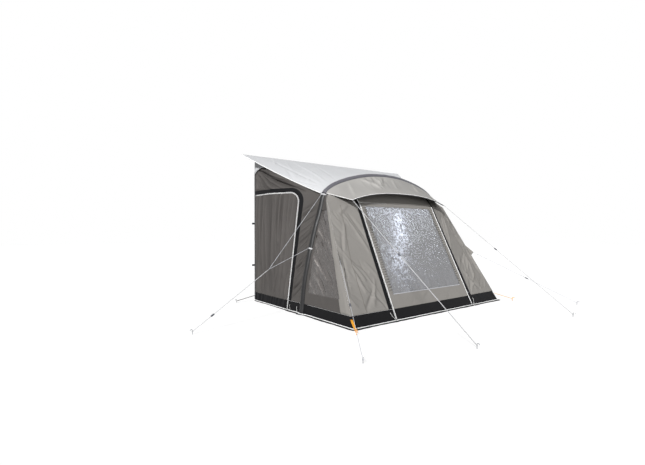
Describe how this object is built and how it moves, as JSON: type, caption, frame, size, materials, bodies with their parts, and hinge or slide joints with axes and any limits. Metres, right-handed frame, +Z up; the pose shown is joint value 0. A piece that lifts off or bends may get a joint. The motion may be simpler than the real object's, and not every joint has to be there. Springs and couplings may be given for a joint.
{
  "type": "caravan awning",
  "caption": "Inflatable porch awning for a caravan side: one air-beam arch, sloping roof, side doors, bay front with window and hood, guy lines.",
  "frame": {"origin": "on the ground, at the centre of the awning's own footprint without its free guys and their pegs", "axes": "+X along the caravan, to the right seen from in front of the awning; +Y towards the caravan; +Z up"},
  "size_m": [6.3285, 3.8467, 2.4439],
  "materials": {
    "bladder": "thin clear TPU tube",
    "blind_grey": "curtain cloth, mid grey",
    "buckle_grey": "moulded nylon, slate grey",
    "clear_film": "clear flexible PVC window film",
    "foam_pad": "foam in dark grey cloth",
    "front_grey": "woven polyester, stone grey, matt",
    "hood_grey": "woven polyester, pale grey, matt",
    "mud_wall_black": "coated ground cloth, black, slight sheen",
    "roof_grey": "woven polyester, light grey, matt",
    "rope_grey": "braided guy rope and webbing, light grey",
    "sleeve_black": "heavy coated sleeve cloth, charcoal, matt",
    "steel": "zinc-plated steel wire",
    "strap_orange": "moulded ladder strap, orange",
    "valve_plastic": "moulded nylon, black",
    "wall_grey": "woven polyester, warm mid grey, matt",
    "white_tape": "white woven tape"
  },
  "bodies": {
    "awning": {"air_beam_bladder": "bladder", "air_beam_sleeve": "sleeve_black", "front_header": "front_grey", "hood_canopy": "hood_grey", "hood_pole": "steel", "inflation_valve": "valve_plastic", "kador_strip": "white_tape", "left_corner_guy": "rope_grey", "left_corner_guy_peg": "steel", "left_front_mud_wall": "mud_wall_black", "left_front_peg_strap": "strap_orange", "left_front_wing": "front_grey", "left_hood_guy": "rope_grey", "left_hood_guy_peg": "steel", "left_leg_band": "white_tape", "left_rear_mud_wall": "mud_wall_black", "left_rear_pad": "foam_pad", "left_rear_peg_strap": "strap_orange", "left_shoulder_band": "white_tape", "left_side_guy": "rope_grey", "left_side_guy_bridle": "rope_grey", "left_side_guy_peg": "steel", "left_side_panel": "wall_grey", "left_side_wall": "wall_grey", "left_side_window": "clear_film", "right_corner_guy": "rope_grey", "right_corner_guy_peg": "steel", "right_front_mud_wall": "mud_wall_black", "right_front_peg_strap": "strap_orange", "right_front_wing": "front_grey", "right_hood_guy": "rope_grey", "right_hood_guy_peg": "steel", "right_leg_band": "white_tape", "right_rear_mud_wall": "mud_wall_black", "right_rear_pad": "foam_pad", "right_rear_peg_strap": "strap_orange", "right_shoulder_band": "white_tape", "right_side_guy": "rope_grey", "right_side_guy_bridle": "rope_grey", "right_side_guy_peg": "steel", "right_side_panel": "wall_grey", "right_side_wall": "wall_grey", "right_side_window": "clear_film", "roof_panel": "roof_grey"},
    "left_door": {"left_door": "wall_grey"},
    "right_door": {"right_door": "wall_grey"},
    "front_panel": {"front_panel": "front_grey", "front_window": "clear_film", "front_blind": "blind_grey"},
    "left_door_zip_slider": {"left_door_zip_slider": "buckle_grey"},
    "left_front_zip_slider": {"left_front_zip_slider": "buckle_grey"},
    "right_door_zip_slider": {"right_door_zip_slider": "buckle_grey"},
    "right_front_zip_slider": {"right_front_zip_slider": "buckle_grey"},
    "left_hood_guy_adjuster": {"left_hood_guy_adjuster": "buckle_grey"},
    "left_corner_guy_adjuster": {"left_corner_guy_adjuster": "buckle_grey"},
    "left_side_guy_adjuster": {"left_side_guy_adjuster": "buckle_grey"},
    "right_hood_guy_adjuster": {"right_hood_guy_adjuster": "buckle_grey"},
    "right_corner_guy_adjuster": {"right_corner_guy_adjuster": "buckle_grey"},
    "right_side_guy_adjuster": {"right_side_guy_adjuster": "buckle_grey"},
    "valve_cap": {"valve_cap": "valve_plastic"}
  },
  "joints": [
    {"name": "left_door_hinge", "type": "hinge", "parent": "awning", "child": "left_door", "pos_m": [-1.65, 1.324, 0], "axis": [0, 0, -1], "range_deg": [0, 80]},
    {"name": "right_door_hinge", "type": "hinge", "parent": "awning", "child": "right_door", "pos_m": [1.65, 1.324, 0], "axis": [0, 0, 1], "range_deg": [0, 80]},
    {"name": "front_panel_hinge", "type": "hinge", "parent": "awning", "child": "front_panel", "pos_m": [0, -0.36768, 1.598], "axis": [-1, 0, 0], "range_deg": [0, 60]},
    {"name": "left_door_zip_slide", "type": "slide", "parent": "awning", "child": "left_door_zip_slider", "axis": [0.1335, 0, 0.9911], "range_m": [0, 1.3]},
    {"name": "left_front_zip_slide", "type": "slide", "parent": "awning", "child": "left_front_zip_slider", "axis": [0.0236, 0.4346, 0.9003], "range_m": [0, 1.4]},
    {"name": "right_door_zip_slide", "type": "slide", "parent": "awning", "child": "right_door_zip_slider", "axis": [-0.1335, 0, 0.9911], "range_m": [0, 1.3]},
    {"name": "right_front_zip_slide", "type": "slide", "parent": "awning", "child": "right_front_zip_slider", "axis": [-0.0236, 0.4346, 0.9003], "range_m": [0, 1.4]},
    {"name": "left_hood_guy_adjuster_slide", "type": "slide", "parent": "awning", "child": "left_hood_guy_adjuster", "axis": [-0.0358, -0.7798, -0.6251], "range_m": [-0.3, 0.3]},
    {"name": "left_corner_guy_adjuster_slide", "type": "slide", "parent": "awning", "child": "left_corner_guy_adjuster", "axis": [-0.4806, -0.7575, -0.4419], "range_m": [-0.25, 0.25]},
    {"name": "left_side_guy_adjuster_slide", "type": "slide", "parent": "awning", "child": "left_side_guy_adjuster", "axis": [-0.8521, -0.0761, -0.5179], "range_m": [-0.3, 0.15]},
    {"name": "right_hood_guy_adjuster_slide", "type": "slide", "parent": "awning", "child": "right_hood_guy_adjuster", "axis": [0.0586, -0.7792, -0.624], "range_m": [-0.3, 0.3]},
    {"name": "right_corner_guy_adjuster_slide", "type": "slide", "parent": "awning", "child": "right_corner_guy_adjuster", "axis": [0.3979, -0.8038, -0.4423], "range_m": [-0.25, 0.25]},
    {"name": "right_side_guy_adjuster_slide", "type": "slide", "parent": "awning", "child": "right_side_guy_adjuster", "axis": [0.7919, 0, -0.6106], "range_m": [-0.3, 0.15]},
    {"name": "valve_cap_turn", "type": "hinge", "parent": "awning", "child": "valve_cap", "pos_m": [-1.50916, -0.02817, 0.3513], "axis": [0.9916, 0.003, -0.1293], "continuous": true}
  ]
}
